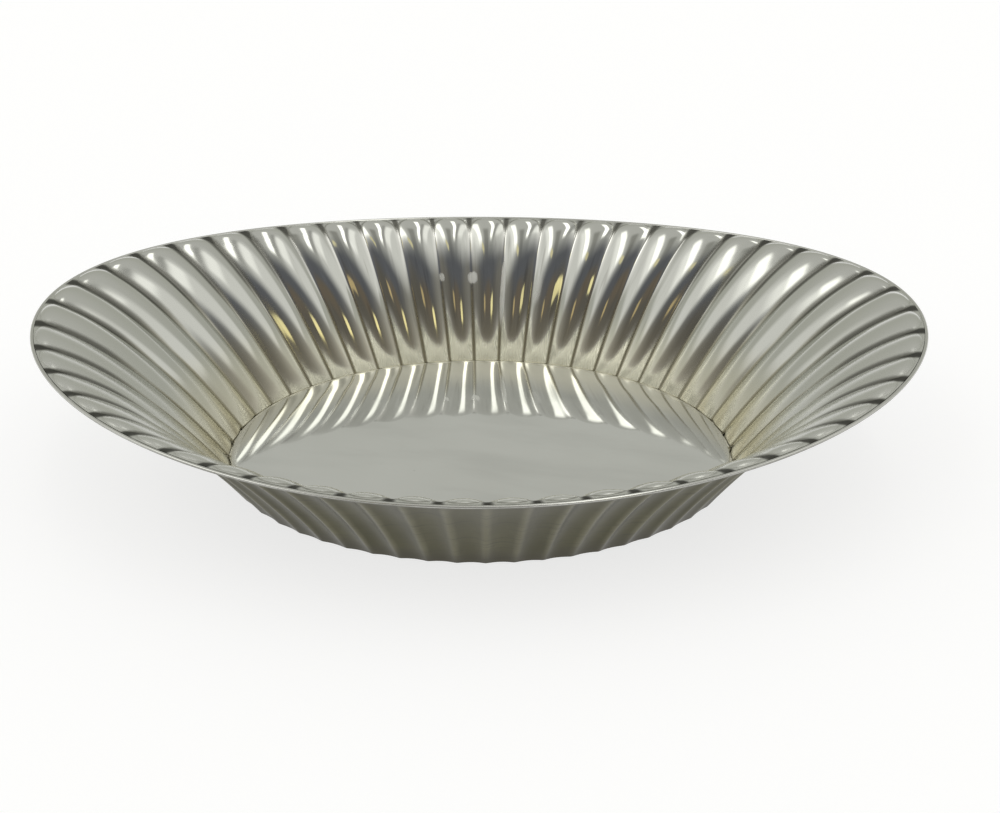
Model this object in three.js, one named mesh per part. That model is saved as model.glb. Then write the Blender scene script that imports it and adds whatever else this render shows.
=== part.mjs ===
// Oval fluted silver bowl, in millimetres, +Z up.
// The origin lies at the centre of the oval, on the plane that the bowl stands on.
// The long axis runs along X, and the rim rises towards the two ends.

import * as THREE from 'three';

// Rim
const RIM_LENGTH = 300;
const RIM_WIDTH = 182.5;
const SIDE_HEIGHT = 47.5;
const END_HEIGHT = 58;

// Foot, measured to the valleys between the flutes on the inside of the wall
const FOOT_LENGTH = 179;
const FOOT_WIDTH = 119.5;

// The flutes' feet stand a little wider apart along the sides than at the ends:
// the most that a foot moves, as a share of the way round
const FOOT_SPREAD = 0.003;

// Sheet and flutes
const SHEET = 0.8;
const FLUTES = 52;
const FLUTE_RISE_TOP = 1.45;
const FLUTE_RISE_FOOT = 0.6;
const RISE_BEND = 7;
const FLUTE_SQUARENESS = 2.05;
const PLAIN_BORDER = 0.3;
const TIP_LENGTH = 8;
const TIP_SQUARENESS = 2.6;

// The wall's own curve: a level lip, a soft turn, and a fall that is part straight and
// part ever steeper, more so at the ends than at the sides
const LIP_FLAT = 1;
const LIP_SOFTNESS = 0.4;
const FLARE_SIDE = 1.45;
const FLARE_END = 1.75;
const LEAN = 0.2;

// Floor
const LEDGE = 4;
const FLOOR_THICKNESS = 1;
const FLOOR_EDGE = 0.3;
const FLOOR_CLEARANCE = 0.3;

// Wire along the rim
const WIRE_WIDTH = 1;
const WIRE_HEIGHT = 1.1;
const WIRE_CLEARANCE = 0.25;

// Places of the facets across one flute, as shares of its width, from valley to valley
const ACROSS_FLUTE = [0, 0.22, 0.5, 0.78];

// Places of the facets down the wall. Those at the tips are shares of TIP_LENGTH,
// and those below them are shares of the way from the tips to the foot.
const INSIDE_TIP_ROWS = [0, 0.16, 0.45, 1];
const INSIDE_WALL_ROWS = [0.14, 0.3, 0.47, 0.65, 0.83, 1];
const OUTSIDE_TIP_ROWS = [0.1, 0.45, 1];
const OUTSIDE_WALL_ROWS = [0.2, 0.4, 0.6, 0.8, 1];

const mix = (from, to, share) => from + (to - from) * share;

// An ellipse that is walked in equal steps of its own length.
// at(share) gives the point at that share of the way round, from +X towards +Y.
function oval(length, width) {
  const steps = 2880;
  const a = length / 2;
  const b = width / 2;
  const travelled = [0];
  for (let i = 1; i <= steps; i += 1) {
    const mid = ((i - 0.5) / steps) * Math.PI * 2;
    const speed = Math.hypot(a * Math.sin(mid), b * Math.cos(mid));
    travelled.push(travelled[i - 1] + (speed * Math.PI * 2) / steps);
  }
  return {
    at(share) {
      const wanted = (share - Math.floor(share)) * travelled[steps];
      let low = 0;
      let high = steps;
      while (high - low > 1) {
        const half = (low + high) >> 1;
        if (travelled[half] <= wanted) low = half;
        else high = half;
      }
      const part = (wanted - travelled[low]) / (travelled[high] - travelled[low]);
      const angle = ((low + part) / steps) * Math.PI * 2;
      return new THREE.Vector2(a * Math.cos(angle), b * Math.sin(angle));
    },
  };
}

// Height of the rim's upper face above the table at a place along the long axis
function rimHeight(x) {
  const share = x / (RIM_LENGTH / 2);
  return SIDE_HEIGHT + (END_HEIGHT - SIDE_HEIGHT) * share * share;
}

const edgeInset = 2 * (WIRE_WIDTH + WIRE_CLEARANCE);
const sheetEdge = oval(RIM_LENGTH - edgeInset, RIM_WIDTH - edgeInset);
const wallFoot = oval(FOOT_LENGTH, FOOT_WIDTH);

// The vertical plane in which one line of the wall runs down from rim to foot.
// point(u, z) turns the distance in from the sheet's edge and a height into space.
function wallPlane(share) {
  const edge = sheetEdge.at(share);
  const foot = wallFoot.at(share - FOOT_SPREAD * Math.sin(share * Math.PI * 4));
  const inward = foot.clone().sub(edge);
  const reach = inward.length();
  inward.divideScalar(reach);
  return {
    reach,
    top: rimHeight(edge.x),
    flare: mix(FLARE_SIDE, FLARE_END, (edge.x / (RIM_LENGTH / 2)) ** 2),
    point: (u, z) => new THREE.Vector3(edge.x + inward.x * u, edge.y + inward.y * u, z),
  };
}

// The height of the wall's own curve at a distance in from the sheet's edge, and its normal
function wallCurve(plane, u) {
  const run = plane.reach - LIP_FLAT;
  const past = (u - LIP_FLAT) / run;
  const bent = Math.hypot(past, LIP_SOFTNESS / run);
  const share = (past + bent) / 2;
  const drop = plane.top - SHEET;
  const fall = mix(Math.pow(share, plane.flare), share, LEAN);
  const steepness = mix(plane.flare * Math.pow(share, plane.flare - 1), 1, LEAN);
  const z = plane.top - drop * fall;
  const slope = (drop * steepness * share) / bent / run;
  const size = Math.hypot(1, slope);
  return { z, normalIn: slope / size, normalUp: 1 / size };
}

// How far a flute stands proud of the valleys beside it.
// across runs from 0 to 1 over its width, and each flute ends in a rounded tip.
function fluteRise(plane, across, u) {
  const side = Math.abs(across - 0.5) * 2;
  const fromTip = (u - PLAIN_BORDER) / TIP_LENGTH;
  const tip = Math.min(1, Math.max(0, 1 - fromTip));
  const fullness = 1 - Math.pow(side, FLUTE_SQUARENESS) - Math.pow(tip, TIP_SQUARENESS);
  const down = Math.pow(u / plane.reach, RISE_BEND);
  return mix(FLUTE_RISE_TOP, FLUTE_RISE_FOOT, down) * Math.max(0, fullness);
}

function wallRows(plane, tipRows, wallShares) {
  const tipEnd = PLAIN_BORDER + TIP_LENGTH;
  const tips = tipRows.map((share) => PLAIN_BORDER + TIP_LENGTH * share);
  const rest = wallShares.map((share) => mix(tipEnd, plane.reach, share));
  return [0, ...tips, ...rest];
}

// One closed section of the wall: down the inside, round the ledge, up the outside
function wallSection(share, across) {
  const plane = wallPlane(share);
  const inside = wallRows(plane, INSIDE_TIP_ROWS, INSIDE_WALL_ROWS).map((u, row, rows) => {
    const curve = wallCurve(plane, u);
    const rise = fluteRise(plane, across, u);
    if (row === rows.length - 1) return plane.point(u + rise, SHEET);
    return plane.point(u + curve.normalIn * rise, curve.z + curve.normalUp * rise);
  });
  const outside = wallRows(plane, OUTSIDE_TIP_ROWS, OUTSIDE_WALL_ROWS).map((u, row, rows) => {
    const curve = wallCurve(plane, u);
    const rise = fluteRise(plane, across, u);
    if (row === rows.length - 1) {
      const below = SHEET * (1 - curve.normalUp);
      const back = SHEET * curve.normalIn - (below * curve.normalUp) / curve.normalIn;
      return plane.point(u + rise - back, 0);
    }
    const out = rise - SHEET;
    return plane.point(u + curve.normalIn * out, curve.z + curve.normalUp * out);
  });
  const ledge = [
    plane.point(plane.reach + LEDGE, SHEET),
    plane.point(plane.reach + LEDGE, 0),
  ];
  return [...inside, ...ledge, ...outside.reverse()];
}

// Joins a ring of closed sections, each with the same count of points, into one solid
function ringSolid(sections) {
  const around = sections.length;
  const points = sections[0].length;
  const positions = [];
  const index = [];
  for (const section of sections) {
    for (const corner of section) positions.push(corner.x, corner.y, corner.z);
  }
  for (let i = 0; i < around; i += 1) {
    const next = (i + 1) % around;
    for (let j = 0; j < points; j += 1) {
      const up = (j + 1) % points;
      const a = i * points + j;
      const b = next * points + j;
      const c = next * points + up;
      const d = i * points + up;
      index.push(a, b, c, a, c, d);
    }
  }
  const geometry = new THREE.BufferGeometry();
  geometry.setAttribute('position', new THREE.Float32BufferAttribute(positions, 3));
  geometry.setIndex(index);
  geometry.computeVertexNormals();
  return geometry;
}

// Calls make(share, across) at every facet line round the bowl.
// The first flute is centred on the +X end of the long axis.
function aroundFlutes(make) {
  const made = [];
  for (let flute = 0; flute < FLUTES; flute += 1) {
    for (const across of ACROSS_FLUTE) {
      made.push(make((flute + across - 0.5) / FLUTES, across));
    }
  }
  return made;
}

function flutedWall() {
  return ringSolid(aroundFlutes(wallSection));
}

// A flat oval plate that lies on the ledge and clears the flutes' feet all round
function floorPlate() {
  const inset = FLUTE_RISE_FOOT + FLOOR_CLEARANCE + FLOOR_EDGE;
  const corners = [];
  for (let i = 0; i < FLUTES * 2; i += 1) {
    const plane = wallPlane(i / (FLUTES * 2));
    const corner = plane.point(plane.reach + inset, 0);
    corners.push(new THREE.Vector2(corner.x, corner.y));
  }
  const plate = new THREE.ExtrudeGeometry(new THREE.Shape(corners), {
    depth: FLOOR_THICKNESS - 2 * FLOOR_EDGE,
    bevelEnabled: true,
    bevelThickness: FLOOR_EDGE,
    bevelSize: FLOOR_EDGE,
    bevelSegments: 1,
    steps: 1,
  });
  plate.translate(0, 0, FLOOR_EDGE);
  return plate;
}

// A fine wire with a flat inner side against the sheet and a rounded outer side
function rimWire() {
  const outer = oval(RIM_LENGTH, RIM_WIDTH);
  const inner = oval(RIM_LENGTH - 2 * WIRE_WIDTH, RIM_WIDTH - 2 * WIRE_WIDTH);
  const profile = [
    [1, 0.5],
    [1, -0.5],
    [0.45, -0.5],
    [0, -0.22],
    [0, 0.22],
    [0.45, 0.5],
  ];
  return ringSolid(aroundFlutes((share) => {
    const from = outer.at(share);
    const to = inner.at(share);
    const middle = rimHeight(to.x) - SHEET / 2;
    return profile.map(([inShare, upShare]) => new THREE.Vector3(
      mix(from.x, to.x, inShare),
      mix(from.y, to.y, inShare),
      middle + WIRE_HEIGHT * upShare,
    ));
  }));
}

const brightSilver = new THREE.MeshStandardMaterial({
  color: '#c9cac3',
  roughness: 0.18,
  metalness: 1,
});
const floorSilver = new THREE.MeshStandardMaterial({
  color: '#c4c5be',
  roughness: 0.12,
  metalness: 1,
});
const wireSilver = new THREE.MeshStandardMaterial({
  color: '#d6d6ce',
  roughness: 0.22,
  metalness: 1,
});

function piece(name, geometry, material, height = 0) {
  const mesh = new THREE.Mesh(geometry, material);
  mesh.name = name;
  mesh.position.z = height;
  return mesh;
}

const bowl = new THREE.Group();
bowl.add(piece('fluted_wall', flutedWall(), brightSilver));
bowl.add(piece('floor_plate', floorPlate(), floorSilver, SHEET));
bowl.add(piece('rim_wire', rimWire(), wireSilver));

export default bowl;
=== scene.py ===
"""Oval fluted silver bowl: the detailed pieces, their finishes, the studio and the camera.

Lengths are in metres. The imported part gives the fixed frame, and the bowl's sizes repeat
those of the part's source, with tips that are a little squarer and a closer floor plate.
"""

import math

import bpy
from mathutils import Matrix, Vector


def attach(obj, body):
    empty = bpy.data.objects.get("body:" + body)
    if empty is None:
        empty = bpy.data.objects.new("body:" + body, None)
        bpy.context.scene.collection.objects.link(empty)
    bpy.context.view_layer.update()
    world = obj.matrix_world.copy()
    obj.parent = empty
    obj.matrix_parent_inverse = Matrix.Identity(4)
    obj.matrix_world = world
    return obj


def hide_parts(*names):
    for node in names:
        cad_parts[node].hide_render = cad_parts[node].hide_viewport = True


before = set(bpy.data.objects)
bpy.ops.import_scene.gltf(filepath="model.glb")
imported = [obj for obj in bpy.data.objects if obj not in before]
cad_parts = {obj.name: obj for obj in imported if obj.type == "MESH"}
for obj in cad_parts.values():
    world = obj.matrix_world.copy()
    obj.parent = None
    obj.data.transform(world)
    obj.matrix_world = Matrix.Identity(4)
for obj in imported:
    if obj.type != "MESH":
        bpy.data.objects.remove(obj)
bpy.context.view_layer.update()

MM = 0.001

# Sizes of the bowl

RIM_LENGTH = 300 * MM
RIM_WIDTH = 182.5 * MM
SIDE_HEIGHT = 47.5 * MM
END_HEIGHT = 58 * MM
FOOT_LENGTH = 179 * MM
FOOT_WIDTH = 119.5 * MM
FOOT_SPREAD = 0.003

SHEET = 0.8 * MM
FLUTES = 52
FLUTE_RISE_TOP = 1.45 * MM
FLUTE_RISE_FOOT = 0.6 * MM
RISE_BEND = 7.0
PLAIN_BORDER = 0.3 * MM
TIP_LENGTH = 8 * MM
TIP_SQUARENESS = 4.2
FLUTE_SQUARENESS = 2.05
LIP_FLAT = 1 * MM
LIP_SOFTNESS = 0.4 * MM
FLARE_SIDE = 1.45
FLARE_END = 1.75
LEAN = 0.2
LEDGE = 4 * MM

FLOOR_THICKNESS = 1 * MM
FLOOR_GAP = 0.02 * MM
FLOOR_SHOULDER = 0.35 * MM
FLOOR_UNDERCUT = 0.4 * MM

WIRE_WIDTH = 1 * MM
WIRE_HEIGHT = 1.1 * MM
WIRE_CLEARANCE = 0.25 * MM

# How softly the sheet turns in the valleys, as a share of a flute's rise
VALLEY_SOFTNESS = 0.2

# How much the hand-made flutes differ: in their rise, and in the place of their crests
RISE_VARIES = 0.05
RISE_SEED = 8
CREST_STRAYS = 0.13
CREST_SEED = 3

# Faces across one flute, and how much they crowd towards its valleys
FLUTE_FACES = 18
VALLEY_CROWDING = 0.62

# Faces down the wall: over the tips, down the flutes, and on the turned-in ledge
TIP_ROWS = 17
TIP_CROWDING = 1.35
FLUTE_ROWS = 22
LEDGE_ROWS = 2

# Faces of the floor plate and of the wire
FLOOR_FACES_AROUND = 360
FLOOR_SHOULDER_ROWS = 6
FLOOR_FACE_ROWS = 8
WIRE_FACES_AROUND = 720
WIRE_FACES_ACROSS = 14

# Steps in which an ellipse is walked, and how near two points are to be one
OVAL_STEPS = 2880
SAME_POINT = 0.01 * MM

# Edges sharper than this stay crisp
CRISP_EDGE = math.radians(40)


# Arithmetic inside node trees


class Value:
    """A number on its way through a node tree, so that a rule can be written as a sum."""

    def __init__(self, tree, socket):
        self.tree = tree
        self.socket = socket

    def math(self, operation, *others):
        node = self.tree.nodes.new("ShaderNodeMath")
        node.operation = operation
        for place, given in enumerate((self, *others)):
            feed(self.tree, node.inputs[place], given)
        return Value(self.tree, node.outputs[0])

    def __add__(self, other):
        return self.math("ADD", other)

    def __sub__(self, other):
        return self.math("SUBTRACT", other)

    def __mul__(self, other):
        return self.math("MULTIPLY", other)

    def __truediv__(self, other):
        return self.math("DIVIDE", other)

    def __pow__(self, other):
        return self.math("POWER", other)

    def __mod__(self, other):
        return self.math("MODULO", other)

    def __neg__(self):
        return self.math("MULTIPLY", -1.0)

    __radd__ = __add__
    __rmul__ = __mul__

    def __rsub__(self, other):
        return (-self).math("ADD", other)

    def least(self, floor):
        return self.math("MAXIMUM", floor)

    def most(self, ceiling):
        return self.math("MINIMUM", ceiling)

    def share(self):
        """The value held between 0 and 1."""
        return self.least(0.0).most(1.0)

    def fraction(self):
        return self.math("FRACT")

    def whole(self):
        return self.math("FLOOR")

    def size(self):
        return self.math("ABSOLUTE")

    def root(self):
        return self.math("SQRT")

    def sine(self):
        return self.math("SINE")

    def cosine(self):
        return self.math("COSINE")

    def between(self, low, high):
        """0 up to low, 1 from high on, and a soft climb from one to the other."""
        node = self.tree.nodes.new("ShaderNodeMapRange")
        node.interpolation_type = "SMOOTHSTEP"
        node.clamp = True
        for label, given in (("Value", self), ("From Min", low), ("From Max", high)):
            feed(self.tree, node.inputs[label], given)
        return Value(self.tree, node.outputs["Result"])


def feed(tree, socket, given):
    """Links a value or a socket to an input, or sets the input to a plain number."""
    if isinstance(given, Value):
        tree.links.new(given.socket, socket)
    elif isinstance(given, bpy.types.NodeSocket):
        tree.links.new(given, socket)
    elif isinstance(given, tuple) and socket.type == "RGBA":
        socket.default_value = (*given, 1)
    else:
        socket.default_value = given


def blend(start, end, share):
    """The way from start to end; any of the three may be a Value."""
    return (end - start) * share + start


class Bench:
    """A node tree, with short ways to place its nodes and to join them."""

    def __init__(self, tree):
        self.tree = tree

    def node(self, kind, inputs=(), **settings):
        made = self.tree.nodes.new(kind)
        for label, value in settings.items():
            setattr(made, label, value)
        for label, given in dict(inputs).items():
            feed(self.tree, made.inputs[label], given)
        return made

    def value(self, socket):
        return Value(self.tree, socket)

    def point(self, x, y, z):
        made = self.tree.nodes.new("ShaderNodeCombineXYZ")
        for place, given in enumerate((x, y, z)):
            feed(self.tree, made.inputs[place], given)
        return made.outputs[0]

    def parts(self, socket):
        made = self.tree.nodes.new("ShaderNodeSeparateXYZ")
        self.tree.links.new(socket, made.inputs[0])
        return [Value(self.tree, out) for out in made.outputs]

    def paint(self, below, above, mask):
        """One colour laid over another, where the mask lets it."""
        made = self.node("ShaderNodeMix", data_type="RGBA")
        factor, under, over = (
            next(s for s in made.inputs if s.name == name and s.enabled)
            for name in ("Factor", "A", "B")
        )
        feed(self.tree, factor, mask)
        feed(self.tree, under, below)
        feed(self.tree, over, above)
        return next(s for s in made.outputs if s.enabled)


# Geometry trees


class GeometryRule(Bench):
    """A Geometry Nodes tree with named sizes as its inputs."""

    def __init__(self, name, sizes):
        super().__init__(bpy.data.node_groups.new(name, "GeometryNodeTree"))
        self.sizes = sizes
        sockets = self.tree.interface
        for label, value in sizes.items():
            kind = "NodeSocketInt" if isinstance(value, int) else "NodeSocketFloat"
            sockets.new_socket(label, in_out="INPUT", socket_type=kind)
        sockets.new_socket("Finish", in_out="INPUT", socket_type="NodeSocketMaterial")
        sockets.new_socket("Mesh", in_out="OUTPUT", socket_type="NodeSocketGeometry")
        self.entry = self.tree.nodes.new("NodeGroupInput")
        self.exit = self.tree.nodes.new("NodeGroupOutput")

    def size(self, label):
        return self.value(self.entry.outputs[label])

    def oval(self, length, width, share):
        """The point at a share of the way round an ellipse, walked in equal steps."""
        circle = self.node(
            "GeometryNodeCurvePrimitiveCircle", {"Resolution": OVAL_STEPS, "Radius": 1.0}
        )
        scale = self.point(length * 0.5, width * 0.5, 1.0)
        oval = self.node(
            "GeometryNodeTransform", {"Geometry": circle.outputs[0], "Scale": scale}
        )
        walk = self.node(
            "GeometryNodeSampleCurve",
            {"Curves": oval.outputs[0]},
            mode="FACTOR",
            use_all_curves=True,
        )
        self.tree.links.new(share.fraction().socket, walk.inputs["Factor"])
        return self.parts(walk.outputs["Position"])

    def keep(self, geometry, name, value, kind="FLOAT"):
        """Stores a value at each point, for the materials to read."""
        made = self.node(
            "GeometryNodeStoreNamedAttribute",
            {"Geometry": geometry, "Name": name},
            data_type=kind,
            domain="POINT",
        )
        socket = next(s for s in made.inputs if s.name == "Value" and s.enabled)
        feed(self.tree, socket, value)
        return made.outputs[0]

    def close(self, grid, place, stored=()):
        """Ends the tree: the grid in its place, joined up, with its finish."""
        shaped = self.node(
            "GeometryNodeSetPosition", {"Geometry": grid, "Position": place}
        ).outputs[0]
        for name, value, kind in stored:
            shaped = self.keep(shaped, name, value, kind)
        joined = self.node(
            "GeometryNodeMergeByDistance", {"Geometry": shaped, "Distance": SAME_POINT}
        )
        plain = self.node(
            "GeometryNodeRealizeInstances", {"Geometry": joined.outputs[0]}
        )
        finished = self.node(
            "GeometryNodeSetMaterial",
            {"Geometry": plain.outputs[0], "Material": self.entry.outputs["Finish"]},
        )
        self.tree.links.new(finished.outputs[0], self.exit.inputs[0])

    def make(self, name, finish):
        """Runs the rule and returns its result as a plain mesh object."""
        seed = bpy.data.objects.new(name + "_rule", bpy.data.meshes.new(name + "_rule"))
        bpy.context.scene.collection.objects.link(seed)
        modifier = seed.modifiers.new("rule", "NODES")
        modifier.node_group = self.tree
        for item in self.tree.interface.items_tree:
            if item.in_out == "INPUT":
                value = finish if item.name == "Finish" else self.sizes[item.name]
                modifier[item.identifier] = value
        bpy.context.view_layer.update()
        ready = bpy.context.evaluated_depsgraph_get()
        mesh = bpy.data.meshes.new_from_object(seed.evaluated_get(ready))
        mesh.name = name
        mesh.materials.clear()
        mesh.materials.append(finish)
        mesh.polygons.foreach_set("material_index", [0] * len(mesh.polygons))
        seed.modifiers.remove(modifier)
        bpy.data.objects.remove(seed)
        piece = bpy.data.objects.new(name, mesh)
        bpy.context.scene.collection.objects.link(piece)
        return piece


def rim_height(rule, x):
    """Height of the rim's upper face above the table at a place along the long axis."""
    side = rule.size("Side Height")
    away = x / (rule.size("Rim Length") * 0.5)
    return side + (rule.size("End Height") - side) * away * away


def grid_places(rule, columns, rows):
    """A grid of points, with the column and the row that each point stands in."""
    grid = rule.node(
        "GeometryNodeMeshGrid",
        {"Vertices X": columns, "Vertices Y": rows, "Size X": 1.0, "Size Y": 1.0},
    )
    index = Value(rule.tree, rule.node("GeometryNodeInputIndex").outputs[0])
    column = ((index + 0.5) / rows).whole()
    row = index - column * rows
    return grid.outputs[0], column, row


def wall_plane(rule, share):
    """The vertical plane in which one line of the wall runs from the rim to the foot."""
    inset = (rule.size("Wire Width") + rule.size("Wire Clearance")) * 2.0
    edge_x, edge_y, _ = rule.oval(
        rule.size("Rim Length") - inset, rule.size("Rim Width") - inset, share
    )
    sway = (share * (4 * math.pi)).sine() * rule.size("Foot Spread")
    foot_x, foot_y, _ = rule.oval(
        rule.size("Foot Length"), rule.size("Foot Width"), share - sway
    )
    in_x = foot_x - edge_x
    in_y = foot_y - edge_y
    reach = (in_x * in_x + in_y * in_y).root()
    return {
        "edge": (edge_x, edge_y),
        "inward": (in_x / reach, in_y / reach),
        "reach": reach,
        "top": rim_height(rule, edge_x),
    }


def flute_rise(rule, reach, side, inward):
    """How far a flute stands proud of its valleys; side is 0 on its crest."""
    tip = (
        1.0 - (inward - rule.size("Plain Border")) / rule.size("Tip Length")
    ).share()
    across = side ** rule.size("Flute Squareness")
    fullness = (1.0 - across - tip ** rule.size("Tip Squareness")).least(0.0)
    soft = rule.size("Valley Softness") * (1.0 - tip.between(0.0, 0.7) * 0.75)
    crest = (soft * soft + 1.0).root() - soft
    rounded = ((fullness * fullness + soft * soft).root() - soft) / crest
    down = (inward / reach) ** rule.size("Rise Bend")
    rise = blend(rule.size("Rise At Top"), rule.size("Rise At Foot"), down)
    return rise * rounded, rounded


def each_flute(rule, across, most, seed):
    """A small number that stays the same over one flute and differs from flute to flute."""
    chance = rule.node(
        "FunctionNodeRandomValue",
        {"ID": (across % rule.size("Flutes")).whole(), "Seed": seed},
        data_type="FLOAT",
    )
    for socket in chance.inputs:
        if socket.enabled and socket.name in ("Min", "Max"):
            socket.default_value = most if socket.name == "Max" else -most
    return Value(rule.tree, next(s for s in chance.outputs if s.enabled))


def fluted_sheet(finish):
    """The raised wall with its flutes, and the ledge that is turned in under the floor."""
    rule = GeometryRule(
        "fluted_sheet_rule",
        {
            "Rim Length": RIM_LENGTH,
            "Rim Width": RIM_WIDTH,
            "Side Height": SIDE_HEIGHT,
            "End Height": END_HEIGHT,
            "Foot Length": FOOT_LENGTH,
            "Foot Width": FOOT_WIDTH,
            "Foot Spread": FOOT_SPREAD,
            "Sheet": SHEET,
            "Flutes": FLUTES,
            "Rise At Top": FLUTE_RISE_TOP,
            "Rise At Foot": FLUTE_RISE_FOOT,
            "Rise Bend": RISE_BEND,
            "Plain Border": PLAIN_BORDER,
            "Tip Length": TIP_LENGTH,
            "Tip Squareness": TIP_SQUARENESS,
            "Flute Squareness": FLUTE_SQUARENESS,
            "Valley Softness": VALLEY_SOFTNESS,
            "Lip Flat": LIP_FLAT,
            "Lip Softness": LIP_SOFTNESS,
            "Flare At Side": FLARE_SIDE,
            "Flare At End": FLARE_END,
            "Lean": LEAN,
            "Ledge": LEDGE,
            "Wire Width": WIRE_WIDTH,
            "Wire Clearance": WIRE_CLEARANCE,
        },
    )
    rows = TIP_ROWS + FLUTE_ROWS + LEDGE_ROWS + 1
    around = rule.size("Flutes") * FLUTE_FACES
    grid, column, row = grid_places(rule, around + 1.0, rows)

    # Across the flutes: the faces crowd towards the valleys
    across = column / FLUTE_FACES
    across = across - (across * (2 * math.pi)).sine() * (
        VALLEY_CROWDING / (2 * math.pi)
    )
    share = (across - 0.5) / rule.size("Flutes")
    part = across.fraction()
    stray = each_flute(rule, across, CREST_STRAYS, CREST_SEED)
    part = part + part * (1.0 - part) * stray
    side = (part * 2.0 - 1.0).size()
    plane = wall_plane(rule, share)
    reach = plane["reach"]

    # Down the wall
    tips_end = rule.size("Plain Border") + rule.size("Tip Length")
    at_tip = (row / TIP_ROWS).share() ** TIP_CROWDING
    at_flute = ((row - TIP_ROWS) / FLUTE_ROWS).share()
    at_ledge = ((row - (TIP_ROWS + FLUTE_ROWS)) / LEDGE_ROWS).share()
    inward = at_tip * tips_end + at_flute * (reach - tips_end)

    # The wall's own curve: a level lip, a soft turn, and the fall to the foot
    run = reach - rule.size("Lip Flat")
    past = (inward - rule.size("Lip Flat")) / run
    soft = rule.size("Lip Softness") / run
    bent = (past * past + soft * soft).root()
    fall = (past + bent) * 0.5
    drop = plane["top"] - rule.size("Sheet")
    away = plane["edge"][0] / (rule.size("Rim Length") * 0.5)
    flare = blend(rule.size("Flare At Side"), rule.size("Flare At End"), away * away)
    lean = rule.size("Lean")
    height = plane["top"] - drop * blend(fall**flare, fall, lean)
    turned = fall / bent
    slope = drop * blend(flare * fall ** (flare - 1.0), 1.0, lean) * turned / run
    steep = (slope * slope + 1.0).root()
    rise, proud = flute_rise(rule, reach, side, inward)
    rise = rise * (each_flute(rule, across, RISE_VARIES, RISE_SEED) + 1.0)

    # The last row of the wall lies on the ledge's upper face
    on_ledge = (row - (TIP_ROWS + FLUTE_ROWS) + 1.0).share()
    out = blend(rise * slope / steep, rise, on_ledge)
    up = blend(rise / steep, 0.0, on_ledge)
    along = inward + out + (rule.size("Ledge") - rise) * at_ledge
    place = rule.point(
        plane["edge"][0] + plane["inward"][0] * along,
        plane["edge"][1] + plane["inward"][1] * along,
        height + up,
    )
    turn = share * (2 * math.pi)
    down = rule.point(turn.cosine(), turn.sine(), inward / reach)
    stored = (
        ("proud", proud, "FLOAT"),
        ("valley", side, "FLOAT"),
        ("flute_place", down, "FLOAT_VECTOR"),
    )
    rule.close(grid, place, stored)
    piece = rule.make("fluted_sheet", finish)
    give_thickness(piece, SHEET)
    return piece


def give_thickness(piece, thickness):
    """Thickens a sheet on its under side and marks that side, as a plain, smooth mesh."""
    count = len(piece.data.vertices)
    solid = piece.modifiers.new("sheet", "SOLIDIFY")
    solid.thickness = thickness
    solid.offset = -1.0
    solid.use_even_offset = True
    solid.use_rim = True
    bpy.context.view_layer.update()
    ready = bpy.context.evaluated_depsgraph_get()
    thick = bpy.data.meshes.new_from_object(piece.evaluated_get(ready))
    piece.modifiers.remove(solid)
    thick.name = piece.data.name + "_solid"
    piece.data = thick
    thick.shade_smooth()
    thick.set_sharp_from_angle(angle=CRISP_EDGE)
    outside = thick.attributes.new("outside", "FLOAT", "POINT")
    outside.data.foreach_set(
        "value", [float(i >= count) for i in range(len(thick.vertices))]
    )


def floor_disc(finish):
    """The flat oval plate that is let in on the ledge."""
    rule = GeometryRule(
        "floor_disc_rule",
        {
            "Rim Length": RIM_LENGTH,
            "Rim Width": RIM_WIDTH,
            "Side Height": SIDE_HEIGHT,
            "End Height": END_HEIGHT,
            "Foot Length": FOOT_LENGTH,
            "Foot Width": FOOT_WIDTH,
            "Foot Spread": FOOT_SPREAD,
            "Sheet": SHEET,
            "Thickness": FLOOR_THICKNESS,
            "Inset": FLUTE_RISE_FOOT + FLOOR_GAP,
            "Edge Radius": FLOOR_SHOULDER,
            "Wire Width": WIRE_WIDTH,
            "Wire Clearance": WIRE_CLEARANCE,
        },
    )
    rows = FLOOR_SHOULDER_ROWS + FLOOR_FACE_ROWS + 1
    grid, column, row = grid_places(rule, FLOOR_FACES_AROUND + 1, rows)
    share = column / FLOOR_FACES_AROUND
    plane = wall_plane(rule, share)
    outline = plane["reach"] + rule.size("Inset")
    edge_x = plane["edge"][0] + plane["inward"][0] * outline
    edge_y = plane["edge"][1] + plane["inward"][1] * outline

    # From the plate's under edge round its rounded shoulder, then in to the middle
    on_edge = (row / FLOOR_SHOULDER_ROWS).share()
    on_face = ((row - FLOOR_SHOULDER_ROWS) / FLOOR_FACE_ROWS).share()
    radius = rule.size("Edge Radius")
    turn = on_edge * (math.pi / 2)
    in_at_edge = radius * (1.0 - turn.cosine())
    up_at_edge = radius * turn.sine()
    away = (edge_x * edge_x + edge_y * edge_y).root()
    keep = (1.0 - in_at_edge / away) * (1.0 - on_face)
    height = rule.size("Sheet") + (rule.size("Thickness") - radius) + up_at_edge
    place = rule.point(edge_x * keep, edge_y * keep, height)
    rule.close(grid, place, [("from_edge", on_face, "FLOAT")])
    piece = rule.make("floor_disc", finish)
    give_thickness(piece, FLOOR_THICKNESS - FLOOR_UNDERCUT)
    return piece


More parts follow.
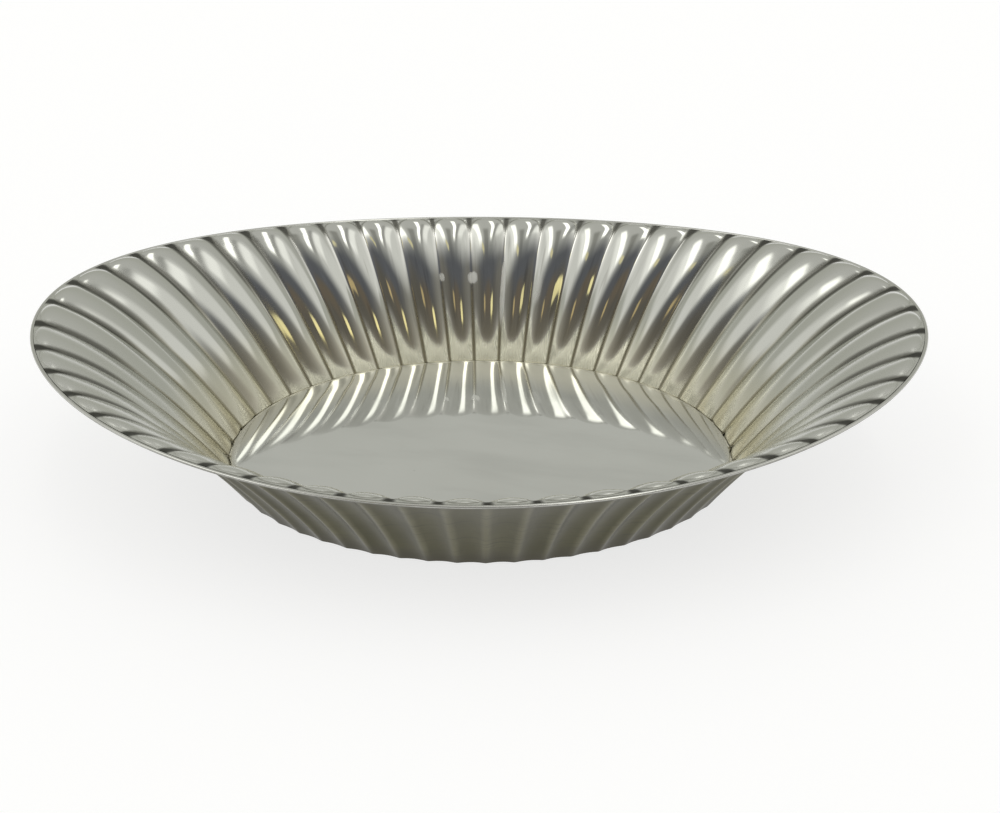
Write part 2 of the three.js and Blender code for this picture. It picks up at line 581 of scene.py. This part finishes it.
def rim_bead(finish):
    """The fine wire that edges the rim and follows its rise towards the ends."""
    rule = GeometryRule(
        "rim_bead_rule",
        {
            "Rim Length": RIM_LENGTH,
            "Rim Width": RIM_WIDTH,
            "Side Height": SIDE_HEIGHT,
            "End Height": END_HEIGHT,
            "Sheet": SHEET,
            "Wire Width": WIRE_WIDTH,
            "Wire Height": WIRE_HEIGHT,
            "Wire Clearance": WIRE_CLEARANCE,
        },
    )
    grid, column, row = grid_places(rule, WIRE_FACES_AROUND + 1, WIRE_FACES_ACROSS + 1)
    share = column / WIRE_FACES_AROUND
    outer_x, outer_y, _ = rule.oval(
        rule.size("Rim Length"), rule.size("Rim Width"), share
    )
    closing = (rule.size("Wire Width") + rule.size("Wire Clearance")) * 2.0
    inner_x, inner_y, _ = rule.oval(
        rule.size("Rim Length") - closing, rule.size("Rim Width") - closing, share
    )
    angle = row * (-2 * math.pi / WIRE_FACES_ACROSS)
    inside = angle.cosine() * 0.5 + 0.5
    upward = angle.sine() * 0.5 * rule.size("Wire Height")
    middle = rim_height(rule, inner_x) - rule.size("Sheet") * 0.5
    place = rule.point(
        blend(outer_x, inner_x, inside),
        blend(outer_y, inner_y, inside),
        middle + upward,
    )
    rule.close(grid, place, [("top", angle.sine() * 0.5 + 0.5, "FLOAT")])
    piece = rule.make("rim_bead", finish)
    piece.data.shade_smooth()
    return piece


# Shared finishes


class Effect(Bench):
    """A surface effect that several materials share, kept as a shader node group."""

    def __init__(self, name, inputs, outputs):
        super().__init__(bpy.data.node_groups.new(name, "ShaderNodeTree"))
        sockets = self.tree.interface
        for label, value in inputs.items():
            kind = "NodeSocketVector" if value is None else "NodeSocketFloat"
            made = sockets.new_socket(label, in_out="INPUT", socket_type=kind)
            if value is not None:
                made.default_value = value
        for label in outputs:
            sockets.new_socket(label, in_out="OUTPUT", socket_type="NodeSocketFloat")
        self.entry = self.tree.nodes.new("NodeGroupInput")
        self.exit = self.tree.nodes.new("NodeGroupOutput")

    def given(self, label):
        return self.value(self.entry.outputs[label])

    def give(self, label, value):
        feed(self.tree, self.exit.inputs[label], value)

    def noise(self, place, scale, detail=2.0, roughness=0.5):
        """Cloudy noise around 0, mostly between -1 and 1."""
        return noise_at(self, place, scale, detail, roughness)


def noise_at(bench, place, scale, detail=2.0, roughness=0.5):
    made = bench.node(
        "ShaderNodeTexNoise",
        {"Vector": place, "Scale": scale, "Detail": detail, "Roughness": roughness},
    )
    return (bench.value(made.outputs["Fac"]) - 0.5) * 3.0


def stretched(bench, place, x, y, z, turn=0.0):
    """The place turned about Z and scaled along its axes."""
    turned = bench.node(
        "ShaderNodeVectorRotate", {"Vector": place, "Angle": turn}, rotation_type="Z_AXIS"
    )
    scaled = bench.node(
        "ShaderNodeVectorMath", {0: turned.outputs[0], 1: (x, y, z)}, operation="MULTIPLY"
    )
    return scaled.outputs[0]


def hollow_tarnish():
    """A patchy dark mask for narrow hollows and undersides, used both for tarnish that a
    polishing cloth leaves and for painted shade.
    """
    effect = Effect(
        "hollow_tarnish",
        {"Place": None, "Hollow": 0.0, "Reach": 0.5, "Patchiness": 0.3},
        ["Mask"],
    )
    place = effect.entry.outputs["Place"]
    patches = effect.noise(place, 55.0, 3.0)
    grain = effect.noise(place, 900.0, 2.0)
    uneven = (patches * 0.7 + grain * 0.3) * effect.given("Patchiness")
    reach = effect.given("Reach")
    depth = effect.given("Hollow") + uneven * (1.0 - reach)
    effect.give("Mask", depth.between(reach, 1.0))
    return effect


def hand_wear():
    """Fine scratches in all directions, faint smears, and the slight wave of the sheet."""
    effect = Effect(
        "hand_wear",
        {"Place": None, "Scratches": 1.0, "Smears": 1.0, "Waves": 1.0},
        ["Roughness", "Height", "Scratch"],
    )
    place = effect.entry.outputs["Place"]
    scratch = None
    for turn, length in ((0.12, 26.0), (1.05, 34.0), (2.2, 30.0), (2.75, 40.0)):
        along = stretched(effect, place, length, length * 60.0, length * 60.0, turn)
        lines = effect.noise(along, 1.0, 1.0).between(0.86, 1.25)
        worn = effect.noise(place, 28.0 + turn * 9.0, 1.0).between(-0.1, 0.7)
        lines = lines * worn
        scratch = lines if scratch is None else scratch + lines
    scratch = scratch.share()
    smears = effect.noise(stretched(effect, place, 20.0, 70.0, 40.0, 0.5), 1.0, 3.0)
    fine = effect.noise(place, 420.0, 3.0)
    effect.give(
        "Roughness",
        scratch * effect.given("Scratches") * 0.16
        + (smears.between(-0.6, 0.9) * 0.05 + fine * 0.012) * effect.given("Smears"),
    )
    waves = effect.noise(place, 42.0, 1.0) + effect.noise(place, 130.0, 0.0) * 0.16
    effect.give(
        "Height",
        waves * effect.given("Waves") - scratch * effect.given("Scratches") * 0.05,
    )
    effect.give("Scratch", scratch)
    return effect


def specks():
    """Small scattered pits and grains."""
    effect = Effect("specks", {"Place": None, "Scale": 60.0, "Size": 0.05}, ["Mask"])
    cells = effect.node(
        "ShaderNodeTexVoronoi",
        {"Vector": effect.entry.outputs["Place"], "Scale": effect.given("Scale")},
    )
    away = effect.value(cells.outputs["Distance"])
    pick = effect.parts(cells.outputs["Color"])[0]
    size = effect.given("Size")
    effect.give("Mask", (1.0 - away.between(size * 0.6, size)) * pick.between(0.86, 0.9))
    return effect


def use(bench, effect, **given):
    """Puts a shared effect to work and returns its outputs by name."""
    made = bench.node(
        "ShaderNodeGroup",
        {label.replace("_", " "): value for label, value in given.items()},
        node_tree=effect.tree,
    )
    return {out.name: bench.value(out) for out in made.outputs}


class Metal(Bench):
    """A material of bare metal whose colour, roughness and relief come from nodes."""

    def __init__(self, name):
        self.material = bpy.data.materials.new(name)
        self.material.use_nodes = True
        super().__init__(self.material.node_tree)
        self.shader = self.tree.nodes["Principled BSDF"]
        self.shader.inputs["Metallic"].default_value = 1.0
        seat = self.tree.nodes.new("ShaderNodeTexCoord")
        self.place = seat.outputs["Object"]

    def read(self, name, vector=False):
        made = self.node("ShaderNodeAttribute", attribute_name=name)
        return made.outputs["Vector"] if vector else self.value(made.outputs["Fac"])

    def finish(self, colour, roughness, height, depth):
        """Joins the results to the shader; depth is the relief's size in metres."""
        feed(self.tree, self.shader.inputs["Base Color"], colour)
        feed(self.tree, self.shader.inputs["Roughness"], roughness)
        relief = self.node(
            "ShaderNodeBump", {"Height": height, "Strength": 1.0, "Distance": depth}
        )
        feed(self.tree, self.shader.inputs["Normal"], relief.outputs[0])
        return self.material


# The finishes, with some painted light and shade


# The wall's inside: polished, with a warm film at its foot painted brighter, flute sides painted
# lighter, streaks of painted reflection, and tarnish with painted shade in its valleys and
# hollows
POLISHED = (0.62, 0.625, 0.585)
PAINTED_LIGHT_ON_SIDES = (0.82, 0.815, 0.77)
FOOT_FILM_PAINTED_BRIGHT = (0.92, 0.89, 0.76)
FOOT_FILM_PAINTED_DIMMER_AT_ENDS = (0.72, 0.695, 0.58)
CLOUDED = (0.61, 0.615, 0.555)
PAINTED_DARK_STREAK = (0.4, 0.395, 0.365)
PAINTED_BRIGHT_STREAK = (0.95, 0.95, 0.92)
VALLEY_TARNISH_AND_SHADE = (0.3, 0.275, 0.19)
VALLEY_TARNISH_AND_SHADE_ABOVE = (0.11, 0.107, 0.09)
TIP_HOLLOW_TARNISH_AND_SHADE = (0.08, 0.08, 0.07)
PAINTED_CREASE_SHADE = (0.25, 0.25, 0.215)
DRIED_MARK = (0.85, 0.85, 0.82)

# The wall's outside: an olive film, painted darker as painted shade, worn off along its ridges
# and darker at its foot
OLIVE_DARK = (0.067, 0.063, 0.033)
OLIVE_PALE = (0.11, 0.104, 0.058)
WORN_RIDGE = (0.19, 0.18, 0.115)
BRUSHED_LINE = (0.05, 0.048, 0.032)
OUTSIDE_FOOT = (0.07, 0.065, 0.045)

# The floor and the wire
FLOOR_SILVER = (0.75, 0.757, 0.735)
FLOOR_CLOUDED = (0.71, 0.716, 0.69)
FLOOR_WIPED = (0.63, 0.636, 0.613)
FLOOR_SEAM = (0.62, 0.61, 0.54)
FLOOR_PIT = (0.2, 0.2, 0.18)
FLOOR_SCRATCH = (0.58, 0.585, 0.56)
WIRE_SILVER = (0.6, 0.6, 0.565)
WIRE_TARNISH_AND_SHADE = (0.12, 0.117, 0.097)

# How deep the fine relief goes
RELIEF = 0.02 * MM
FLOOR_RELIEF = 0.012 * MM

# How far along the bowl its ends begin, and from where they count in full
END_BEGINS = 45 * MM
END_FULL = 95 * MM

# Where the inside has dried marks: degrees round the bowl, share of the way down,
# half their sizes in the same units, and their strength
DRIED_MARKS = (
    (93.3, 0.505, 1.05, 0.04, 0.8),
    (100.05, 0.5, 0.6, 0.03, 0.6),
    (86.35, 0.585, 0.55, 0.19, 0.9),
    (78.4, 0.57, 1.1, 0.09, 0.35),
)


class WallPlaces:
    """Where a point lies on the wall, and the slow noises that its finishes share."""

    def __init__(self, metal):
        flute_place = metal.read("flute_place", vector=True)
        along, depth, _ = metal.parts(metal.place)
        cosine, sine, self.foot = metal.parts(flute_place)
        self.turn = sine.math("ARCTAN2", cosine) * (180 / math.pi)
        self.across = metal.read("valley")
        self.proud = metal.read("proud")
        self.end = along.size().between(END_BEGINS, END_FULL)
        self.near = 1.0 - depth.between(-20 * MM, 40 * MM)
        self.satin = (1.0 - depth.between(-25 * MM, 25 * MM)).least(self.end * 0.2)
        self.cloudy = noise_at(metal, metal.place, 38.0, 3.0)
        self.ripple = noise_at(metal, stretched(metal, flute_place, 60, 60, 2.5), 1.0, 2.0)


def pale_marks(on):
    """Pale, matt patches where water has dried on the silver."""
    mask = None
    for degrees, down, half_turn, half_down, strength in DRIED_MARKS:
        aside = ((on.turn - degrees) / half_turn).size()
        below = ((on.foot - down) / half_down).size()
        away = (aside**2.5 + below**2.5) ** 0.4
        spot = (1.0 - (away + on.ripple * 0.22).between(0.55, 1.3)) * strength
        mask = spot if mask is None else mask.least(spot)
    return mask


def valley_dark_masks(metal, on, upper, tarnish_and_shade):
    """Masks of the hollows between the tips, and of the dark lines down the valleys, which carry
    tarnish and painted shade.
    """
    hollow = (1.0 - on.proud * 8.0).share() * on.across.between(0.5, 0.95)
    hollow = hollow * (1.0 - on.foot.between(0.08, 0.18))
    line = on.end * on.foot.between(0.02, 0.12) * (upper * 0.4 + 0.6)
    line = on.foot.between(0.25, 0.85).least(line)
    line = line.least(1.0 - on.foot.between(0.08, 0.24))
    line = line * on.across.between(0.74 - on.end * upper * 0.22, 0.97)
    deep = use(metal, tarnish_and_shade, Place=metal.place, Hollow=hollow, Reach=0.24, Patchiness=0.2)
    thin = use(metal, tarnish_and_shade, Place=metal.place, Hollow=line, Reach=0.2, Patchiness=0.08)
    return deep["Mask"], thin["Mask"]


def inside_silver(metal, on, tarnish_and_shade):
    """The inside's colour, and how much rougher than polished silver it is."""
    upper = 1.0 - on.foot.between(0.35, 0.65)
    middle = 1.0 - on.end
    deep, thin = valley_dark_masks(metal, on, upper, tarnish_and_shade)
    film_and_painted_light = (on.foot + on.cloudy * 0.04).between(0.62, 0.92)
    belly = on.foot.between(0.12, 0.3) * (1.0 - on.foot.between(0.72, 0.88)) * middle
    # Painted light: the flute sides in the middle of the upper wall are painted lighter than the
    # polished silver
    sides = on.across.between(0.72, 0.96) * (1.0 - on.foot.between(0.3, 0.6))
    sides = sides * on.foot.between(0.06, 0.16) * middle

    # The crease where a flute rises from the plain border is left a little dull, and painted
    # darker as painted shade over its bright outline, less so at the ends
    crease = on.proud.between(0.0, 0.03) * (1.0 - on.proud.between(0.08, 0.22))
    crease = crease * (1.0 - on.foot.between(0.1, 0.2))

    colour = metal.paint(POLISHED, PAINTED_LIGHT_ON_SIDES, sides)
    # Painted light: the warm film at the foot is painted brighter than the polished silver, less
    # so at the ends
    foot_film_painted_light = metal.paint(FOOT_FILM_PAINTED_BRIGHT, FOOT_FILM_PAINTED_DIMMER_AT_ENDS, on.end)
    colour = metal.paint(colour, foot_film_painted_light, film_and_painted_light)
    colour = metal.paint(colour, CLOUDED, on.cloudy.between(-0.2, 1.2) * 0.4)
    # Painted reflections: dark and bright streaks down the middle of the wall's belly
    colour = metal.paint(colour, PAINTED_DARK_STREAK, on.ripple.between(0.1, 0.8) * belly * 0.65)
    colour = metal.paint(colour, PAINTED_BRIGHT_STREAK, (-on.ripple).between(0.2, 1.0) * belly * 0.35)
    # The dark lines down the valleys: tarnish, with painted shade that is darkest up the wall and
    # wider at the ends
    valley_tarnish_and_shade = metal.paint(VALLEY_TARNISH_AND_SHADE, VALLEY_TARNISH_AND_SHADE_ABOVE, upper)
    colour = metal.paint(colour, valley_tarnish_and_shade, thin * 0.85)
    # The hollows between the tips: tarnish, with painted shade that is stronger on the near side
    # and at the ends
    colour = metal.paint(colour, TIP_HOLLOW_TARNISH_AND_SHADE, deep * (on.near.least(on.end) * 0.4 + 0.5))
    colour = metal.paint(colour, PAINTED_CREASE_SHADE, crease * (0.75 - on.end * 0.5))
    dried = pale_marks(on)
    colour = metal.paint(colour, DRIED_MARK, dried)
    rougher = on.satin * 0.2 + film_and_painted_light * 0.03 + (deep + thin + crease) * 0.2 + dried * 0.6
    return colour, rougher


def outside_silver(metal, on):
    """The outside's colour, an olive film painted darker as painted shade, and the patches that
    the film makes.
    """
    patches = noise_at(metal, stretched(metal, metal.place, 60, 60, 18), 1.0, 4.0)
    streaks = noise_at(metal, stretched(metal, metal.place, 260, 260, 30), 1.0, 3.0)
    brushed = noise_at(metal, stretched(metal, metal.place, 50, 50, 1100), 1.0, 2.0)
    ridge = (on.across + patches * 0.10 + streaks * 0.05).between(0.66, 1.04)
    # Painted shade: the olive film is painted darker than the film alone, in place of the shaded
    # table that it mirrors
    colour = metal.paint(OLIVE_DARK, OLIVE_PALE, patches.between(-0.7, 1))
    colour = metal.paint(colour, WORN_RIDGE, ridge * 0.6)
    colour = metal.paint(colour, BRUSHED_LINE, brushed.between(0.0, 0.9) * 0.55)
    at_foot = (on.foot + patches * 0.05).between(0.86, 1.02)
    return metal.paint(colour, OUTSIDE_FOOT, at_foot), patches


def wall_metal(name, tarnish_and_shade, wear):
    """The wall's silver: bright inside with painted light, dark in its hollows with tarnish and
    painted shade, and dulled and darkened on its outside with an olive film and painted shade.
    """
    metal = Metal(name)
    on = WallPlaces(metal)
    outside = metal.read("outside")
    marks = use(metal, wear, Place=metal.place, Scratches=0.5, Smears=0.8, Waves=1.2)
    bright, rougher = inside_silver(metal, on, tarnish_and_shade)
    olive, patches = outside_silver(metal, on)
    colour = metal.paint(bright, olive, outside)
    roughness = marks["Roughness"] + blend(rougher + 0.045, patches * 0.03 + 0.33, outside)
    height = marks["Height"] + on.ripple * (1.0 - outside) * 0.16 + patches * outside * 0.3
    return metal.finish(colour, roughness, height, RELIEF)


def floor_metal(name, tarnish_and_shade, wear, speckle):
    """The floor's silver: a flat mirror with fine wear and a dull seam round its edge."""
    metal = Metal(name)
    edge = (1.0 - metal.read("from_edge") * 30.0).share()
    marks = use(metal, wear, Place=metal.place, Scratches=1.0, Smears=1.0, Waves=0.25)
    pits = use(metal, speckle, Place=metal.place, Scale=95.0, Size=0.035)
    seam = use(metal, tarnish_and_shade, Place=metal.place, Hollow=edge, Reach=0.3, Patchiness=0.6)
    cloudy = noise_at(metal, metal.place, 22.0, 3.0)
    wiped = noise_at(metal, stretched(metal, metal.place, 16, 70, 40, 0.2), 1.0, 4.0)
    colour = metal.paint(FLOOR_SILVER, FLOOR_CLOUDED, cloudy.between(-1, 1))
    colour = metal.paint(colour, FLOOR_WIPED, wiped.between(-0.3, 0.7) * 0.6)
    colour = metal.paint(colour, FLOOR_SEAM, seam["Mask"] * 0.8)
    colour = metal.paint(colour, FLOOR_PIT, pits["Mask"] * 0.7)
    colour = metal.paint(colour, FLOOR_SCRATCH, marks["Scratch"] * 0.3)
    roughness = marks["Roughness"] + 0.03 + seam["Mask"] * 0.42
    height = marks["Height"] - pits["Mask"] * 0.3
    return metal.finish(colour, roughness, height, FLOOR_RELIEF)


def wire_metal(name, tarnish_and_shade, wear):
    """The rim wire's silver: worn bright on top, and darker on its lower half with tarnish where
    it meets the sheet and painted shade.
    """
    metal = Metal(name)
    under = (1.0 - metal.read("top")).share()
    marks = use(metal, wear, Place=metal.place, Scratches=1.0, Smears=1.0, Waves=0.5)
    film_and_painted_light = use(metal, tarnish_and_shade, Place=metal.place, Hollow=under * 1.5, Reach=0.35, Patchiness=0.4)
    # The wire's lower half is darker: tarnish where it meets the sheet, and painted shade over
    # the table's reflection
    colour = metal.paint(WIRE_SILVER, WIRE_TARNISH_AND_SHADE, film_and_painted_light["Mask"] * 0.85)
    roughness = marks["Roughness"] + 0.12 + film_and_painted_light["Mask"] * 0.15
    return metal.finish(colour, roughness, marks["Height"], RELIEF)


# Camera

# The camera that fits the photograph's outlines: its place, its turns in radians, and
# its lens in millimetres
CAMERA_PLACE = Vector((26.770, -448.655, 329.274)) * MM
CAMERA_YAW = -0.042861
CAMERA_PITCH = 0.602075
CAMERA_ROLL = -0.014116
SENSOR_WIDTH = 36
FOCAL_LENGTH = SENSOR_WIDTH * 1.55617

def set_camera():
    """The camera stands in front of the long side and looks down on the bowl."""
    yaw, pitch, roll = CAMERA_YAW, CAMERA_PITCH, CAMERA_ROLL
    ahead = Vector(
        (
            math.sin(yaw) * math.cos(pitch),
            math.cos(yaw) * math.cos(pitch),
            -math.sin(pitch),
        )
    )
    right = Vector((math.cos(yaw), -math.sin(yaw), 0))
    above = right.cross(ahead)
    turned_right = right * math.cos(roll) + above * math.sin(roll)
    turned_up = above * math.cos(roll) - right * math.sin(roll)
    data = bpy.data.cameras.new("camera")
    data.sensor_width = SENSOR_WIDTH
    data.lens = FOCAL_LENGTH
    data.clip_start, data.clip_end = 0.01, 20
    camera = bpy.data.objects.new("camera", data)
    axes = Matrix((turned_right, turned_up, -ahead)).transposed()
    camera.matrix_world = Matrix.Translation(CAMERA_PLACE) @ axes.to_4x4()
    bpy.context.scene.collection.objects.link(camera)
    bpy.context.scene.camera = camera


tarnish_and_shade = hollow_tarnish()
wear = hand_wear()
speckle = specks()

wall = fluted_sheet(wall_metal("wall_silver", tarnish_and_shade, wear))
plate = floor_disc(floor_metal("floor_silver", tarnish_and_shade, wear, speckle))
wire = rim_bead(wire_metal("wire_silver", tarnish_and_shade, wear))
set_camera()

for piece, node, slot in (
    (wall, "fluted_wall", "wall_silver"),
    (plate, "floor_plate", "floor_silver"),
    (wire, "rim_wire", "wire_silver"),
):
    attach(piece, "root")
    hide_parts(node)


# Studio


class Sky(Bench):
    """The way that a ray leaves into the world, and the soft shapes that it meets."""

    def __init__(self, tree):
        super().__init__(tree)
        seen = self.node("ShaderNodeTexCoord")
        self.x, self.y, self.z = self.parts(seen.outputs["Generated"])
        level = (self.x * self.x + self.y * self.y).root().least(0.001)
        height = self.z.least(0.05)
        # How squarely the ray runs towards the camera's side, and its place on a ceiling
        self.nearness = -self.y / level
        self.over_x = self.x / height
        self.over_y = self.y / height

    def rises(self, low, high):
        """0 below one elevation and 1 above the other, in degrees."""
        return self.z.between(math.sin(math.radians(low)), math.sin(math.radians(high)))

    def along(self, axis):
        return self.x * axis[0] + self.y * axis[1] + self.z * axis[2]

    def lamp(
        self, azimuth, elevation, half_width, half_height, turn=0, soft=0.3, round_to=3.5
    ):
        """A soft patch. Azimuth 0 is +Y and 90 is +X; the sizes are angles in degrees."""
        az, el, roll = (math.radians(v) for v in (azimuth, elevation, turn))
        ahead = Vector(
            (math.sin(az) * math.cos(el), math.cos(az) * math.cos(el), math.sin(el))
        )
        right = Vector((math.cos(az), -math.sin(az), 0))
        above = right.cross(ahead)
        across = right * math.cos(roll) + above * math.sin(roll)
        up = above * math.cos(roll) - right * math.sin(roll)
        depth = self.along(ahead)
        front = depth.least(0.05)
        p = self.along(across) / front / math.tan(math.radians(half_width))
        q = self.along(up) / front / math.tan(math.radians(half_height))
        away = (p.size() ** round_to + q.size() ** round_to) ** (1 / round_to)
        shape = 1.0 - away.between(1.0 - soft, 1.0 + soft)
        return shape * depth.between(0.05, 0.1)

    def cloth(self, left, right, near, far, soft=0.05, ends=0.12, slant=0.0):
        """A soft oblong on the ceiling. Its far part may slant away to the left."""
        aside = self.over_x + self.over_y.least(-0.3) * slant
        across = aside.between(left - soft, left + soft) * (
            1.0 - aside.between(right - soft, right + soft)
        )
        along = self.over_y.between(near - ends, near + ends) * (
            1.0 - self.over_y.between(far - ends, far + ends)
        )
        return across * along * self.rises(14, 18)


def studio_world(name):
    """A light tent: a pale ceiling with lamps behind it, and a dark room before it."""
    world = bpy.data.worlds.new(name)
    world.use_nodes = True
    sky = Sky(world.node_tree)
    tent = sky.paint((0.525, 0.53, 0.485), (0.62, 0.62, 0.595), sky.rises(20, 75))
    for colour, cloth in CLOTHS:
        tent = sky.paint(tent, colour, sky.cloth(**cloth))

    # The dark room beyond the ceiling's near edge, paler towards its two sides
    edge = -sky.over_y + sky.over_x.most(0.0) * 0.16
    edge = edge + (sky.over_x - 0.9).least(0.0) * 0.22
    room = sky.paint((0.14, 0.13, 0.112), (0.135, 0.14, 0.155), sky.rises(22, 34))
    room = sky.paint((0.51, 0.5, 0.46), room, (sky.nearness / 0.9).share())
    tent = sky.paint(tent, room, edge.between(0.66, 1.34))
    for colour, lamp in LAMPS:
        tent = sky.paint(tent, colour, sky.lamp(**lamp))

    # Low down, the wide pale sweep that the table runs into
    tent = sky.paint(tent, (1.0, 1.0, 1.0), 1.0 - sky.rises(5, 17))
    feed(sky.tree, sky.tree.nodes["Background"].inputs["Color"], tent)
    bpy.context.scene.world = world


# Oblongs of the ceiling that are lit or shaded more than the rest; later ones lie on top
CLOTHS = (
    ((0.84, 0.84, 0.81), dict(left=-2.3, right=-0.6, near=-1.5, far=0.35, soft=0.4, ends=0.35)),
    ((1.2, 1.2, 1.16), dict(left=-1.05, right=-0.52, near=-1.08, far=-0.05, soft=0.18, ends=0.2)),
    ((1.9, 1.9, 1.83), dict(left=-0.74, right=-0.46, near=-0.93, far=0.05, ends=0.16)),
    ((0.36, 0.36, 0.335), dict(left=-0.28, right=-0.02, near=-1.3, far=-0.42, soft=0.08)),
    ((0.86, 0.86, 0.83), dict(left=0.44, right=2.2, near=-1.3, far=0.25, soft=0.12, ends=0.22)),
    ((1.25, 1.25, 1.21), dict(left=0.43, right=0.74, near=-0.68, far=0.08, soft=0.08)),
    ((0.45, 0.45, 0.43), dict(left=0.27, right=0.39, near=-0.8, far=0.15, soft=0.05)),
    ((2.2, 2.2, 2.12), dict(left=0.055, right=0.19, near=-0.8, far=0.36, soft=0.02, slant=0.22)),
)

# Warm lamps that stand in the room, and the haze of light round them
LAMPS = (
    (
        (0.18, 0.15, 0.115),
        dict(azimuth=177, elevation=26.5, half_width=11, half_height=4, soft=0.7, round_to=2),
    ),
    (
        (1.24, 1.11, 0.58),
        dict(azimuth=159.5, elevation=22.8, half_width=4.4, half_height=2.6, soft=0.2),
    ),
    ((0.64, 0.5, 0.26), dict(azimuth=-167, elevation=24.3, half_width=3, half_height=2.2)),
    (
        (0.87, 0.8, 0.5),
        dict(azimuth=-158, elevation=42.5, half_width=4.5, half_height=2, turn=14),
    ),
)


TABLE_HALF = 6.0
TABLE_PALE = (0.85, 0.85, 0.85)
TABLE_SEEN = (0.36, 0.36, 0.36)
TABLE_GLOW = 0.735


def pale_table():
    """A wide pale table top, white where it is seen or mirrored, with the bowl's shadow."""
    half = TABLE_HALF
    top = bpy.data.meshes.new("table")
    corners = [(-half, -half, 0), (half, -half, 0), (half, half, 0), (-half, half, 0)]
    top.from_pydata(corners, [], [(0, 1, 2, 3)])
    paint = bpy.data.materials.new("pale_table")
    paint.use_nodes = True
    bench = Bench(paint.node_tree)
    ray = bench.node("ShaderNodeLightPath")
    seen = bench.value(ray.outputs["Is Camera Ray"])
    for kind in ("Is Glossy Ray", "Is Transmission Ray"):
        seen = seen.least(bench.value(ray.outputs[kind]))
    shader = paint.node_tree.nodes["Principled BSDF"]
    shader.inputs["Roughness"].default_value = 0.9
    shader.inputs["Specular IOR Level"].default_value = 0
    shader.inputs["Emission Color"].default_value = (1, 1, 1, 1)
    colour = bench.paint(TABLE_PALE, TABLE_SEEN, seen)
    feed(bench.tree, shader.inputs["Base Color"], colour)
    feed(bench.tree, shader.inputs["Emission Strength"], seen * TABLE_GLOW)
    top.materials.append(paint)
    table = bpy.data.objects.new("table", top)
    bpy.context.scene.collection.objects.link(table)


studio_world("studio")
pale_table()
bpy.context.scene.view_settings.view_transform = "Standard"
